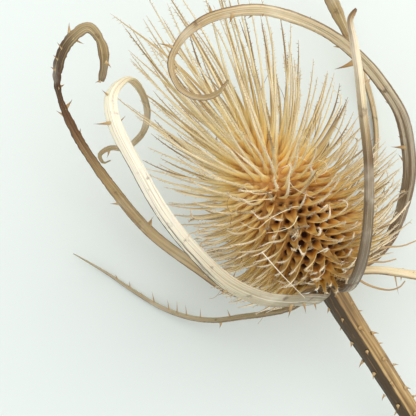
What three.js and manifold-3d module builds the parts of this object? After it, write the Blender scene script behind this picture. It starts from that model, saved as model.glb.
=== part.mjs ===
// A dried teasel seed head, cut with a short piece of its stem and laid on a table.
//
// The plant is modelled in its own head frame: the origin is the joint of head and stem, +Z runs
// up the head, +X and +Y point sideways. One nested pair of groups then lays it down, so that it
// rests on the rim of the cut stem and on its two lowest bracts. Millimetres, +Z up when laid down.

import * as THREE from 'three';
import { mergeVertices } from 'three/addons/utils/BufferGeometryUtils.js';
import Module from 'manifold-3d';

const wasm = await Module();
wasm.setup();

// Pose
const LEAN = THREE.MathUtils.degToRad(16.3);   // head axis above the table
const ROLL = THREE.MathUtils.degToRad(-92.6);  // turn about the head axis: which side is underneath

// Seed head
const CORE_START = 0.35;      // clear of the stem's top
const CORE_LENGTH = 31;
const CORE_RADIUS = 9.4;
const CORE_FOOT_RADIUS = 2.4;
const CORE_SIDES = 18;
const CORE_RINGS = 12;
const SPINE_COUNT = 440;
const SPINE_ROOT_RADIUS = 0.62;
const SPINE_WAIST_RADIUS = 0.34;
const SPINE_SINK = 0.9;
const LOWEST_SPINE = 0.03;       // share of the core's length
const SPINE_SIDES = 3;
const SPINE_LAW = [  // height up the core in mm, degrees from the head axis, length in mm
  [0, 92, 9.5], [4, 85, 10.8], [18, 79, 11.5], [21, 66, 14.4], [23, 46, 17.8], [25, 32, 22.2],
  [27, 22, 26.8], [29, 14, 29.6], [31, 5, 30.4],
];
const SPINE_BEND = THREE.MathUtils.degToRad(7);
const BENT_FROM_LENGTH = 14;     // shorter spines are straight
const SPINE_FULLER_SIDE = 0.12;  // low spines on the +X side are longer by this share
const SPINE_TALLER_SIDE = 0.02;  // top spines on the -X side are longer by this share
const APEX_CROWDING = 1.3;       // spines stand closer together near the apex
const GOLDEN_ANGLE = Math.PI * (3 - Math.sqrt(5));
const SPINE_CLEARANCE = 0.45;    // air between a spine and a bract
const SHORTEST_SPINE = 3;
const BRACT_BALLS = 60;          // balls that stand for a bract when that air is measured

// Stem
const STEM_RADIUS = 2.3;
const STEM_RIBS = 8;
const STEM_RIB_HEIGHT = 0.16;
const STEM_STEPS = 10;
const STEM_TWIST = 0.35;      // radians from top to cut end
const STEM_PRICKLES = 16;
const STEM_ROUTE = [[0, 0, 0], [0.2, 0, -7], [0.7, 0, -16], [1.8, 0, -37], [3.4, 0, -60]];

// Bracts
const BRACT_ROOT_RADIUS = 2.9;   // distance of every root from the head axis
const BRACT_ROOT_LEVEL = -0.65;
const BRACT_ROOT_HALF_WIDTH = 1.0;
const BRACT_HALF_THICKNESS = 0.5;
const RING_SPACING = 8;          // rings along a bract are this far apart where it is straight
const RING_TURN = THREE.MathUtils.degToRad(26);  // and this much bend apart where it curls
const PRICKLE_LENGTH = 1.5;
const PRICKLE_RADIUS = 0.36;
const PRICKLE_EVERY = 3;         // rings of a bract from one prickle to the next
const PRICKLE_AIR = 0.6;         // a prickle whose tip would come closer to the table is left out

// Each bract: where it leaves the head (degrees round the axis), its half width in mm, how much of
// that is left at the tip, how far it twists on the way (degrees), and the points it passes. The
// two that carry the head also say how high their middle line runs where they rest on the table.
const BRACTS = [
  {
    name: 'bract_front_left', azimuth: 238, halfWidth: 1.65, tip: 0.42, twist: 40, colour: 0xe8dfc2,
    route: [
      [-3, -5.2, -0.6], [-5.5, -9.5, 2], [-8.5, -13, 4.5], [-12, -15.5, 8], [-15.5, -17, 13.5],
      [-17.5, -16.5, 20], [-19, -15.5, 29], [-19, -14.5, 38.5], [-18.5, -13, 46.5], [-17, -10.5, 50],
      [-14.5, -7, 51], [-12.5, -3, 50], [-12, 1, 46.5], [-13, 4.5, 42.5], [-15.5, 7, 39.5],
      [-19.5, 8, 38.5], [-22, 7.5, 40], [-24.2, 6.5, 40], [-24.3, 5.5, 38.6], [-23, 5, 38.4],
    ],
  },
  {
    name: 'bract_back_left', azimuth: 134, halfWidth: 1.1, tip: 0.6, twist: -30, colour: 0xb49a6e,
    route: [
      [-5, 5, -0.4], [-10, 8.5, 1.2], [-15.5, 11, 4], [-19.7, 14, 11.5], [-23.8, 15, 21.5],
      [-25.6, 12, 33.5], [-26, 7, 45.5], [-24.3, 1, 55], [-21, -4, 59.7], [-17.6, -7, 61.8],
      [-14.3, -8, 62], [-13.7, -9, 59], [-14.9, -9, 55.7], [-17, -8, 53],
    ],
  },
  {
    name: 'bract_low_left', azimuth: 180, halfWidth: 0.85, tip: 0.4, twist: 20, colour: 0xb9a175,
    restHeight: 0.35,
    route: [
      [-7.9, 2.8, -1.7], [-12.9, 6.5, -1.2], [-17.1, 10, -0.4], [-21.5, 13.5, 0.5], [-25.5, 16.5, 2.6],
      [-29.5, 19.5, 6.5], [-32.8, 21.7, 12], [-35, 22.5, 16.5], [-37.3, 22, 21],
    ],
  },
  {
    name: 'bract_front_right', azimuth: 296, halfWidth: 1.4, tip: 0.5, twist: 25, colour: 0xa8946f,
    route: [
      [2.6, -5.6, -1], [5.4, -10.3, 1.9], [8.8, -14, 7], [12.4, -16, 13.5], [15.5, -17, 20],
      [18.4, -16.5, 27], [21.2, -15, 33], [23.4, -13, 38.3], [24.7, -12, 41.4], [26.6, -11, 42.3],
    ],
  },
  {
    name: 'bract_arching', azimuth: 42, halfWidth: 1.4, tip: 0.45, twist: -35, colour: 0xb9a07a,
    route: [
      [5, 5.2, -1.9], [8, 8.6, -3.3], [11.6, 11.6, -3.6], [15.7, 13, -2.1], [19.7, 12, 1.6],
      [23.6, 10, 7], [25.7, 7.5, 12.7], [26.8, 4, 19], [26, -0.5, 25.7], [24.3, -4.5, 32.8],
      [21, -9, 40.4], [17, -12, 46], [12.7, -14, 50.3], [8.2, -15.5, 52.8], [3, -17, 54.2],
      [-1.8, -18, 53.6], [-5.5, -18.5, 51], [-6.2, -19, 46.8], [-4.1, -19, 43.7], [-1.3, -18.5, 42.8],
      [1.5, -17, 43.6],
    ],
  },
  {
    name: 'bract_side_right', azimuth: 350, halfWidth: 1.05, tip: 0.4, twist: 15, colour: 0xd8c49a,
    route: [
      [5.2, -0.9, -0.8], [8.2, 0, -2.4], [11.8, 2, -5.5], [15, 4, -8.6], [19, 6, -11.8],
      [25, 7, -13.7], [31, 6.5, -13.2], [35.6, 5, -10.7], [37.7, 3, -7], [37, 1, -3.4],
    ],
  },
  {
    name: 'bract_back_right', azimuth: 88, halfWidth: 0.95, tip: 0.45, twist: -20, colour: 0xae9569,
    restHeight: 0.62,
    route: [
      [1.6, 6, -1.2], [4.5, 11, -1], [9.3, 15.9, 0.6], [14.8, 19.4, 4.2], [19.6, 22, 8.7],
      [23.6, 24.5, 14], [26.3, 25.4, 20.5], [28.6, 24.6, 29.6], [29.6, 20, 40.4], [28.6, 15, 47.6],
      [26.3, 11, 52.4], [23, 9, 53],
    ],
  },
];

const vector = (list) => new THREE.Vector3(...list);

// Seeded random numbers, so that the plant grows the same each time.
let seed = 20;
function random(low, high) {
  seed = (seed * 1664525 + 1013904223) % 4294967296;
  return low + (high - low) * seed / 4294967296;
}

// A closed body from rings of points with caps at both ends. A ring of one point is a sharp end.
function bodyFromRings(rings) {
  const positions = [];
  const starts = [];
  for (const ring of rings) {
    starts.push(positions.length / 3);
    for (const point of ring) positions.push(point.x, point.y, point.z);
  }
  const index = [];
  for (let i = 0; i + 1 < rings.length; i += 1) {
    const sides = rings[i].length;
    const sharp = rings[i + 1].length === 1;
    for (let j = 0; j < sides; j += 1) {
      const next = (j + 1) % sides;
      const low = starts[i] + j;
      const lowNext = starts[i] + next;
      if (sharp) {
        index.push(low, lowNext, starts[i + 1]);
      } else {
        index.push(low, lowNext, starts[i + 1] + next);
        index.push(low, starts[i + 1] + next, starts[i + 1] + j);
      }
    }
  }
  capRing(index, starts[0], rings[0].length, true);
  capRing(index, starts[rings.length - 1], rings[rings.length - 1].length, false);
  const geometry = new THREE.BufferGeometry();
  geometry.setAttribute('position', new THREE.Float32BufferAttribute(positions, 3));
  geometry.setIndex(index);
  return geometry;
}

function capRing(index, start, sides, first) {
  for (let j = 1; j + 1 < sides; j += 1) {
    if (first) index.push(start, start + j + 1, start + j);
    else index.push(start, start + j, start + j + 1);
  }
}

function toSolid(geometry) {
  const bare = geometry.clone();
  bare.deleteAttribute('normal');
  bare.deleteAttribute('uv');
  const merged = mergeVertices(bare, 1e-5);
  return new wasm.Manifold(new wasm.Mesh({
    numProp: 3,
    vertProperties: new Float32Array(merged.attributes.position.array),
    triVerts: new Uint32Array(merged.index.array),
  }));
}

function toGeometry(solid) {
  const mesh = solid.getMesh();
  const geometry = new THREE.BufferGeometry();
  geometry.setAttribute('position', new THREE.Float32BufferAttribute(mesh.vertProperties, 3));
  geometry.setIndex(Array.from(mesh.triVerts));
  geometry.computeVertexNormals();
  return geometry;
}

const joined = (geometries) => geometries.map(toSolid).reduce((whole, piece) => whole.add(piece));

// Shares of a curve's length where its rings go: closer together where it bends more.
function ringShares(curve) {
  const samples = 300;
  const step = curve.getLength() / samples;
  const grown = [0];
  let before = curve.getTangentAt(0);
  for (let i = 1; i <= samples; i += 1) {
    const along = curve.getTangentAt(i / samples);
    grown.push(grown[i - 1] + step / RING_SPACING + along.angleTo(before) / RING_TURN);
    before = along;
  }
  const count = Math.round(grown[samples]);
  const shares = [];
  for (let n = 0; n <= count; n += 1) {
    const wanted = grown[samples] * n / count;
    shares.push(grown.findIndex((value) => value >= wanted - 1e-9) / samples);
  }
  return shares;
}

// Points along a curve, each with its tangent and two directions square to it. The first of the two
// starts as close to startNormal as it can, is carried along without spinning and then twisted.
function framesAlong(curve, shares, startNormal, twist) {
  const normal = startNormal.clone();
  return shares.map((share) => {
    const along = curve.getTangentAt(share);
    normal.addScaledVector(along, -normal.dot(along)).normalize();
    const turned = normal.clone().applyAxisAngle(along, twist * share);
    const side = new THREE.Vector3().crossVectors(along, turned);
    return { share, point: curve.getPointAt(share), along, normal: turned, side };
  });
}

// A sharp prickle standing on a surface point, leaning a little along the stalk it grows on.
function prickle(base, outward, along, length) {
  const axis = outward.clone().addScaledVector(along, 0.35).normalize();
  const across = new THREE.Vector3().crossVectors(axis, along).normalize();
  const upright = new THREE.Vector3().crossVectors(across, axis);
  const foot = base.clone().addScaledVector(outward, -0.3);
  const ring = [0, 1, 2].map((corner) => {
    const angle = corner * 2 * Math.PI / 3;
    return foot.clone()
      .addScaledVector(upright, PRICKLE_RADIUS * Math.cos(angle))
      .addScaledVector(across, PRICKLE_RADIUS * Math.sin(angle));
  });
  return bodyFromRings([ring, [foot.clone().addScaledVector(axis, length + 0.3)]]);
}

// Core: an egg with its widest ring a third of the way up.
function coreRadius(share) {
  return CORE_RADIUS * Math.sin(Math.PI * share ** 0.62) ** 0.75;
}

function coreGeometry() {
  const profile = [new THREE.Vector2(0, CORE_START), new THREE.Vector2(CORE_FOOT_RADIUS, CORE_START)];
  for (let i = 1; i < CORE_RINGS; i += 1) {
    const share = (i / CORE_RINGS) ** 1.25;
    profile.push(new THREE.Vector2(coreRadius(share), CORE_START + share * CORE_LENGTH));
  }
  profile.push(new THREE.Vector2(0, CORE_START + CORE_LENGTH));
  return new THREE.LatheGeometry(profile, CORE_SIDES).rotateX(Math.PI / 2);
}

// Heights up the core that share its skin out between the spines, more tightly near the apex.
function evenShares(count) {
  const slices = 400;
  const shareAt = (slice) => THREE.MathUtils.lerp(LOWEST_SPINE, 0.9999, slice / slices);
  const skin = [0];
  for (let i = 1; i <= slices; i += 1) {
    const low = coreRadius(shareAt(i - 1));
    const high = coreRadius(shareAt(i));
    const slant = Math.hypot(CORE_LENGTH / slices, high - low);
    const crowding = 1 + APEX_CROWDING * THREE.MathUtils.smoothstep(shareAt(i), 0.55, 0.85);
    skin.push(skin[i - 1] + (low + high) * slant * crowding);
  }
  const shares = [];
  let slice = 1;
  for (let n = 0; n < count; n += 1) {
    const wanted = skin[slices] * (n + 0.5) / count;
    while (skin[slice] < wanted) slice += 1;
    const inSlice = (wanted - skin[slice - 1]) / (skin[slice] - skin[slice - 1]);
    shares.push(shareAt(slice - 1 + inSlice));
  }
  return shares;
}

// The points of a spine: its root in the core, the waist of a long bent one, and its tip.
function spinePoints(share, azimuth, angle, length) {
  const outward = new THREE.Vector3(Math.cos(azimuth), Math.sin(azimuth), 0);
  const towards = (turn) => outward.clone().multiplyScalar(Math.sin(turn)).setZ(Math.cos(turn));
  const skin = outward.clone().multiplyScalar(coreRadius(share));
  skin.z = CORE_START + share * CORE_LENGTH;
  if (length < BENT_FROM_LENGTH) {
    const root = skin.clone().addScaledVector(towards(angle), -SPINE_SINK);
    return [root, skin.addScaledVector(towards(angle), length)];
  }
  const root = skin.clone().addScaledVector(towards(angle + SPINE_BEND), -SPINE_SINK);
  const waist = skin.clone().addScaledVector(towards(angle + SPINE_BEND), length * 0.45);
  const tip = waist.clone().addScaledVector(towards(angle - SPINE_BEND), length * 0.55);
  return [root, waist, tip];
}

function spineGeometry(points) {
  const root = points[0];
  const tip = points[points.length - 1];
  const along = tip.clone().sub(root).normalize();
  const across = new THREE.Vector3().crossVectors(along, new THREE.Vector3(0, 0, 1));
  if (across.length() < 0.05) across.set(1, 0, 0);
  across.normalize();
  const upright = new THREE.Vector3().crossVectors(across, along);
  const ring = (centre, radius) => {
    const points = [];
    for (let i = 0; i < SPINE_SIDES; i += 1) {
      const angle = i * 2 * Math.PI / SPINE_SIDES;
      points.push(centre.clone()
        .addScaledVector(across, radius * Math.cos(angle))
        .addScaledVector(upright, -radius * Math.sin(angle)));
    }
    return points;
  };
  const waist = points.slice(1, -1).map((centre) => ring(centre, SPINE_WAIST_RADIUS));
  return bodyFromRings([ring(root, SPINE_ROOT_RADIUS), ...waist, [tip]]);
}

// The nearest a spine comes to any bract's surface, taking the bract as a string of balls.
const nearest = new THREE.Vector3();
function airToBracts(points, bracts) {
  let air = Infinity;
  const lines = points.slice(1).map((end, i) => new THREE.Line3(points[i], end));
  for (const { balls } of bracts) {
    for (const { centre, radius } of balls) {
      for (const line of lines) {
        line.closestPointToPoint(centre, true, nearest);
        air = Math.min(air, nearest.distanceTo(centre) - radius);
      }
    }
  }
  return air;
}

// A spine that would touch a bract is turned towards the apex or, failing that, kept short.
function clearSpine(share, azimuth, angle, length, bracts) {
  for (let kept = length; kept > SHORTEST_SPINE; kept *= 0.85) {
    for (const turn of [0, -4, -8, -12, -16, 5]) {
      const points = spinePoints(share, azimuth, angle + THREE.MathUtils.degToRad(turn), kept);
      if (airToBracts(points, bracts) > SPINE_CLEARANCE) return points;
    }
  }
  return spinePoints(share, azimuth, angle, SHORTEST_SPINE);
}

// A spine's angle and length, read off the law at its height.
function spineLaw(height) {
  const after = Math.max(SPINE_LAW.findIndex(([level]) => level > height), 1);
  const [low, high] = [SPINE_LAW[after - 1], SPINE_LAW[after]];
  const share = (height - low[0]) / (high[0] - low[0]);
  return [THREE.MathUtils.lerp(low[1], high[1], share), THREE.MathUtils.lerp(low[2], high[2], share)];
}

function seedHead(bracts) {
  const pieces = [coreGeometry()];
  evenShares(SPINE_COUNT).forEach((share, n) => {
    const azimuth = n * GOLDEN_ANGLE;
    const height = share * CORE_LENGTH;
    const [lawAngle, lawLength] = spineLaw(height);
    const angle = THREE.MathUtils.degToRad(lawAngle + random(-2.5, 2.5));
    const upper = THREE.MathUtils.smoothstep(share, 0.55, 0.85);
    const fuller = THREE.MathUtils.lerp(SPINE_FULLER_SIDE, -SPINE_TALLER_SIDE, upper);
    const length = lawLength * (1 + fuller * Math.cos(azimuth)) * random(0.93, 1.05);
    pieces.push(spineGeometry(clearSpine(share, azimuth, angle, length, bracts)));
  });
  return toGeometry(joined(pieces));
}

// A bract's section: a thin blade with a groove on its inner face and a rib on its outer one.
function bractRing({ point, normal, side }, halfWidth, halfThickness) {
  const outline = [
    [1, 0], [0.5, -0.8], [0, -1.3], [-0.5, -0.8], [-1, 0], [-0.55, 0.9], [0, 0.55], [0.55, 0.9],
  ];
  return outline.map(([across, up]) => point.clone()
    .addScaledVector(side, across * halfWidth)
    .addScaledVector(normal, up * halfThickness));
}

// Half width at a share of the length: narrow at the root, widest near it, tapered to the tip.
function bractHalfWidth({ halfWidth, tip }, share) {
  const widening = THREE.MathUtils.smoothstep(share, 0, 0.14);
  const tapering = THREE.MathUtils.lerp(1, tip, THREE.MathUtils.smoothstep(share, 0.12, 1));
  const rounded = Math.sqrt(THREE.MathUtils.clamp((1.02 - share) / 0.05, 0.12, 1));
  return THREE.MathUtils.lerp(BRACT_ROOT_HALF_WIDTH, halfWidth, widening) * tapering * rounded;
}

function bractCourse(bract, route) {
  const turn = THREE.MathUtils.degToRad(bract.azimuth);
  const root = new THREE.Vector3(Math.cos(turn), Math.sin(turn), 0).multiplyScalar(BRACT_ROOT_RADIUS);
  root.z = BRACT_ROOT_LEVEL;
  const curve = new THREE.CatmullRomCurve3([root, ...route], false, 'centripetal');
  const twist = THREE.MathUtils.degToRad(bract.twist);
  const frames = framesAlong(curve, ringShares(curve), new THREE.Vector3(0, 0, 1), twist);
  const halfWidths = frames.map(({ share }) => bractHalfWidth(bract, share));
  const balls = curve.getSpacedPoints(BRACT_BALLS).map((centre, i) => (
    { centre, radius: bractHalfWidth(bract, i / BRACT_BALLS) }
  ));
  return { bract, frames, halfWidths, balls };
}

function bractPrickles({ frames, halfWidths }) {
  const prickles = [];
  for (let i = 3; i < frames.length - 2; i += PRICKLE_EVERY) {
    const { point, side, normal, along } = frames[i];
    const edge = i % 2 === 0 ? 1 : -1;
    const outward = side.clone().multiplyScalar(edge).addScaledVector(normal, -0.5).normalize();
    const base = point.clone().addScaledVector(side, edge * halfWidths[i] * 0.7);
    const length = PRICKLE_LENGTH * random(0.7, 1.1);
    const height = base.clone().addScaledVector(outward, length).dot(up) - tableLevel;
    if (height > PRICKLE_AIR) prickles.push(prickle(base, outward, along, length));
  }
  return prickles;
}

function bractGeometry(course, belowTable) {
  const { frames, halfWidths } = course;
  const rings = frames.map((frame, i) => {
    const thin = THREE.MathUtils.lerp(1, 0.75, frame.share);
    return bractRing(frame, halfWidths[i], BRACT_HALF_THICKNESS * thin);
  });
  const body = joined([bodyFromRings(rings), ...bractPrickles(course)]);
  return toGeometry(body.subtract(belowTable));
}

function stemGeometry() {
  const curve = new THREE.CatmullRomCurve3(STEM_ROUTE.map(vector));
  const shares = Array.from({ length: STEM_STEPS + 1 }, (_, i) => i / STEM_STEPS);
  const frames = framesAlong(curve, shares, new THREE.Vector3(1, 0, 0), STEM_TWIST);
  const rings = frames.map(({ point, normal, side }) => {
    const ring = [];
    for (let i = 0; i < STEM_RIBS * 2; i += 1) {
      const angle = i * Math.PI / STEM_RIBS;
      const radius = STEM_RADIUS + (i % 2 === 0 ? STEM_RIB_HEIGHT : -STEM_RIB_HEIGHT);
      ring.push(point.clone()
        .addScaledVector(normal, radius * Math.cos(angle))
        .addScaledVector(side, radius * Math.sin(angle)));
    }
    return ring;
  });
  const pieces = [bodyFromRings(rings)];
  for (let n = 0; n < STEM_PRICKLES; n += 1) {
    const share = 0.08 + 0.84 * (n + 0.5) / STEM_PRICKLES;
    const point = curve.getPointAt(share);
    const along = curve.getTangentAt(share);
    const outward = new THREE.Vector3(1, 0, 0).applyAxisAngle(along, n * GOLDEN_ANGLE);
    outward.addScaledVector(along, -outward.dot(along)).normalize();
    const base = point.clone().addScaledVector(outward, STEM_RADIUS - 0.2);
    pieces.push(prickle(base, outward, along, PRICKLE_LENGTH * random(0.6, 0.9)));
  }
  return toGeometry(joined(pieces));
}

function addMesh(group, name, geometry, colour) {
  const material = new THREE.MeshStandardMaterial({ color: colour, roughness: 0.8, metalness: 0 });
  const mesh = new THREE.Mesh(geometry, material);
  mesh.name = name;
  group.add(mesh);
}

// The plant in its head frame, inside the two turns that lay it down.
const plant = new THREE.Group();
plant.rotation.z = ROLL;
const leaning = new THREE.Group();
leaning.rotation.y = Math.PI / 2 - LEAN;
leaning.add(plant);
const group = new THREE.Group();
group.add(leaning);

const stem = stemGeometry();
addMesh(plant, 'stem', stem, 0xa1834f);

// The table, as a thick slab in the head frame: its top is the level of the stem's lowest rim.
group.updateMatrixWorld(true);
const laidStem = stem.clone().applyMatrix4(plant.matrixWorld);
laidStem.computeBoundingBox();
const tableLevel = laidStem.boundingBox.min.z;
const slab = new THREE.BoxGeometry(300, 300, 40);
slab.translate(0, 0, tableLevel - 20);
slab.applyMatrix4(plant.matrixWorld.clone().invert());
const belowTable = toSolid(slab);

// The route of a bract that rests on the table is lifted where it would sink below its rest height.
const up = new THREE.Vector3(0, 0, 1).transformDirection(plant.matrixWorld.clone().invert());
function liftedRoute({ route, restHeight }) {
  const points = route.map(vector);
  for (const point of points) {
    const sunk = restHeight - (point.dot(up) - tableLevel);
    if (sunk > 0) point.addScaledVector(up, sunk);
  }
  return points;
}

const courses = BRACTS.map((bract) => bractCourse(bract, liftedRoute(bract)));
addMesh(plant, 'seed_head', seedHead(courses), 0xd8b57c);
for (const course of courses) {
  addMesh(plant, course.bract.name, bractGeometry(course, belowTable), course.bract.colour);
}

// Centre the whole over the origin, with the table at height zero.
group.updateMatrixWorld(true);
const box = new THREE.Box3().setFromObject(group, true);
const middle = box.getCenter(new THREE.Vector3());
leaning.position.set(-middle.x, -middle.y, -box.min.z);

export default group;
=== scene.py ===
# %% [markdown]
# A dried teasel seed head lies on a pale table, seen from above. It is an egg of stiff scales on a
# short cut stem, with seven long curling bracts round its base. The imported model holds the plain
# solids. This script dresses each of them: it replaces the coarse spines and bracts by finer ones
# that follow the same courses.

import math

import bpy
import numpy as np
from mathutils import Matrix, Vector


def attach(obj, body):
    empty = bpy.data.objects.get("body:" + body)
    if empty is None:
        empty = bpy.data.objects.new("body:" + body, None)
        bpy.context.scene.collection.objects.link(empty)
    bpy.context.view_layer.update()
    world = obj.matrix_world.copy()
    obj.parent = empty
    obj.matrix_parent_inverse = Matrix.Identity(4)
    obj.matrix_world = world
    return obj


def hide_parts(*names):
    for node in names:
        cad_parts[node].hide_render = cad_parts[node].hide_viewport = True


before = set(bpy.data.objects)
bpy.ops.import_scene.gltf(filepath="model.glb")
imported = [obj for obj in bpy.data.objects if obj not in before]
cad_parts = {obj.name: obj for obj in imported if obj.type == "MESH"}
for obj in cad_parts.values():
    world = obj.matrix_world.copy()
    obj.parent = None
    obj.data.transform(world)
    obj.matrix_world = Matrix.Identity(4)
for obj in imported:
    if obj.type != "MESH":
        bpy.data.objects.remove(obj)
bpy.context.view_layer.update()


def shown(name, data):
    """A new object of the scene."""
    thing = bpy.data.objects.new(name, data)
    bpy.context.scene.collection.objects.link(thing)
    return thing


# %% [markdown]
# A plant is easiest to describe upright. So every course below is written in a head frame, in
# millimetres: the origin is where the head joins its stem, +Z runs up the head. One turn and one
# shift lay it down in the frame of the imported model, which is in metres.

# %% The head frame
MM = 0.001
LEAN = math.radians(16.3)
ROLL = math.radians(-92.6)
HEAD_BASE = np.array([-0.483, 0.768, 18.896])
HEAD_TIP = 62
lay_down = np.array(Matrix.Rotation(math.pi / 2 - LEAN, 3, "Y") @ Matrix.Rotation(ROLL, 3, "Z"))
UP = lay_down.T @ np.array([0, 0, 1])


def laid(points):
    """Points of the head frame, in millimetres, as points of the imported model, in metres."""
    return (np.asarray(points) @ lay_down.T + HEAD_BASE) * MM


def laid_direction(directions):
    return np.asarray(directions) @ lay_down.T


def height_above_table(points):
    """How high points of the head frame lie, in millimetres."""
    return (laid(points) / MM)[..., 2]


print("the head's tip lies at", laid([0, 0, HEAD_TIP]).round(4))

# %% [markdown]
# The photograph looks down on the head, which leans 30 degrees to the left of upright in the
# picture, with its tip tilted 12 degrees towards the camera. Those two angles give the camera's
# three axes in the head frame, and the distance and focal length give the size in the picture.

# %% The camera
PICTURE_LEAN = math.radians(30)
PICTURE_TILT = math.radians(12)
CAMERA_DISTANCE = 300
PIXELS_PER_MM = 5.5
PICTURE_SIZE = 416
BASE_PIXEL = (327, 281.5)
SENSOR_WIDTH = 36

head_x = np.array([math.cos(PICTURE_LEAN), math.sin(PICTURE_LEAN), 0])
head_z = np.array([-math.sin(PICTURE_LEAN) * math.cos(PICTURE_TILT),
                   math.cos(PICTURE_LEAN) * math.cos(PICTURE_TILT),
                   math.sin(PICTURE_TILT)])
picture_axes = np.stack([head_x, np.cross(head_z, head_x), head_z], axis=1)
base_right = (BASE_PIXEL[0] - PICTURE_SIZE / 2) / PIXELS_PER_MM
base_up = (PICTURE_SIZE / 2 - BASE_PIXEL[1]) / PIXELS_PER_MM


def from_picture(right, up, near):
    """A direction given in the picture's axes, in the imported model's frame."""
    return laid_direction(picture_axes.T @ np.array([right, up, near]))


def seen_at(pixel, near):
    """The point of the head frame at a pixel, so many millimetres nearer than the head's base."""
    shrink = (CAMERA_DISTANCE - near) / CAMERA_DISTANCE / PIXELS_PER_MM
    right = -base_right + (pixel[0] - PICTURE_SIZE / 2) * shrink
    up = -base_up + (PICTURE_SIZE / 2 - pixel[1]) * shrink
    return picture_axes.T @ np.array([right, up, near])


def seen_from_camera(points):
    """Points of the head frame as pixels of the picture, with how near each is to the camera."""
    right, up, near = picture_axes @ np.asarray(points).T
    grow = PIXELS_PER_MM * CAMERA_DISTANCE / (CAMERA_DISTANCE - near)
    return np.stack([PICTURE_SIZE / 2 + (right + base_right) * grow,
                     PICTURE_SIZE / 2 - (up + base_up) * grow, near], axis=1)


camera_place = laid(picture_axes.T @ np.array([-base_right, -base_up, CAMERA_DISTANCE]))
camera_turn = np.stack([from_picture(1, 0, 0), from_picture(0, 1, 0), from_picture(0, 0, 1)], axis=1)
camera = shown("camera", bpy.data.cameras.new("camera"))
camera.data.sensor_width = SENSOR_WIDTH
camera.data.lens = SENSOR_WIDTH * CAMERA_DISTANCE * PIXELS_PER_MM / PICTURE_SIZE
camera.matrix_world = Matrix.Translation(camera_place) @ Matrix(camera_turn.tolist()).to_4x4()
bpy.context.scene.camera = camera
print("camera at", camera_place.round(3), "lens", round(camera.data.lens, 1))

# %% [markdown]
# Geometry trees and materials are both graphs of nodes. One small class wraps an output socket, so
# that Python's own operators add Math nodes, and one method adds any other node: its settings are
# set first, then the values or links of its sockets.

# %% Node helpers
def operator(operation, turned=False):
    """A method that adds one Math node, with its two values turned round for a right-hand operator."""
    def method(self, other):
        return self.tree.math(operation, *((other, self) if turned else (self, other)))
    return method


class Output:
    """An output socket. Arithmetic on it adds Math nodes to its tree."""

    def __init__(self, tree, socket):
        self.tree = tree
        self.socket = socket

    def named(self, name):
        return Output(self.tree, self.socket.node.outputs[name])

    __add__ = operator("ADD")
    __sub__ = operator("SUBTRACT")
    __mul__ = operator("MULTIPLY")
    __truediv__ = operator("DIVIDE")
    __pow__ = operator("POWER")
    __radd__ = operator("ADD", turned=True)
    __rsub__ = operator("SUBTRACT", turned=True)
    __rmul__ = operator("MULTIPLY", turned=True)


class Tree:
    """Adds nodes to a node tree."""

    def __init__(self, tree):
        self.tree = tree

    def add(self, kind, settings=None, sockets=(), output=0):
        node = self.tree.nodes.new(kind)
        for name, value in (settings or {}).items():
            if name == "stops":
                self.set_stops(node.color_ramp, value)
            else:
                setattr(node, name, value)
        pairs = sockets.items() if isinstance(sockets, dict) else enumerate(sockets)
        for name, value in pairs:
            if isinstance(value, Output):
                self.tree.links.new(value.socket, node.inputs[name])
            elif value is not None:
                node.inputs[name].default_value = value
        return Output(self, node.outputs[output]) if node.outputs else node

    def set_stops(self, ramp, stops):
        while len(ramp.elements) < len(stops):
            ramp.elements.new(0.5)
        for element, (position, colour) in zip(ramp.elements, stops):
            element.position = position
            element.color = colour

    def math(self, operation, *values):
        return self.add("ShaderNodeMath", {"operation": operation}, values)

    def vector(self, operation, *values):
        return self.add("ShaderNodeVectorMath", {"operation": operation}, values)

    def scaled(self, vector, factor):
        sockets = {"Vector": vector, "Scale": factor}
        return self.add("ShaderNodeVectorMath", {"operation": "SCALE"}, sockets)

    def split(self, vector):
        return self.add("ShaderNodeSeparateXYZ", None, [vector])

    def combined(self, x, y, z):
        return self.add("ShaderNodeCombineXYZ", None, [x, y, z])

    def noise(self, place, scale, detail):
        sockets = {"Vector": place, "Scale": scale, "Detail": detail}
        return self.add("ShaderNodeTexNoise", None, sockets)

    def smooth(self, value, low, high, at_low=0.0, at_high=1.0):
        settings = {"interpolation_type": "SMOOTHSTEP"}
        sockets = {"Value": value, "From Min": low, "From Max": high,
                   "To Min": at_low, "To Max": at_high}
        return self.add("ShaderNodeMapRange", settings, sockets)


def random_numbers(seed):
    return np.random.default_rng(seed)


print("node helpers ready")

# %% [markdown]
# Nearly everything on this plant is a strand: a scale, a bract, the stem or a dry thread. A strand
# is written as a line of points that carries, at each point, how wide and thick it is and which way
# is sideways. One geometry tree sweeps a ring along such lines. It could use a plain bevelled curve,
# but then every section would be round. Here the ring is flattened, cupped and grooved.

# %% Strands as lines of points
CURVE_STEPS = 60


def write_attribute(mesh, name, values):
    """Stores one number, or one direction of the head frame, on each point of a mesh."""
    values = np.asarray(values)
    kind, key = "FLOAT", "value"
    if values.ndim == 2:
        values = laid_direction(values)
        kind, key = "FLOAT_VECTOR", "vector"
    layer = mesh.attributes.new(name, kind, "POINT")
    layer.data.foreach_set(key, values.astype(np.float32).ravel())


def strand_mesh(name, strands, values):
    """A mesh of open lines from a list of point arrays, with one list of arrays per attribute."""
    starts = np.concatenate([[0], np.cumsum([len(strand) for strand in strands])])
    edges = [np.stack([np.arange(a, b - 1), np.arange(a + 1, b)], axis=1)
             for a, b in zip(starts[:-1], starts[1:])]
    mesh = bpy.data.meshes.new(name)
    mesh.from_pydata(laid(np.concatenate(strands)).tolist(), np.concatenate(edges).tolist(), [])
    for attribute_name, data in values.items():
        write_attribute(mesh, attribute_name, np.concatenate(data))
    return mesh


def distance_along(points):
    """How far along a line of points each point is."""
    steps = np.linalg.norm(np.diff(points, axis=0), axis=1)
    return np.concatenate([[0], np.cumsum(steps)])


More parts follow.
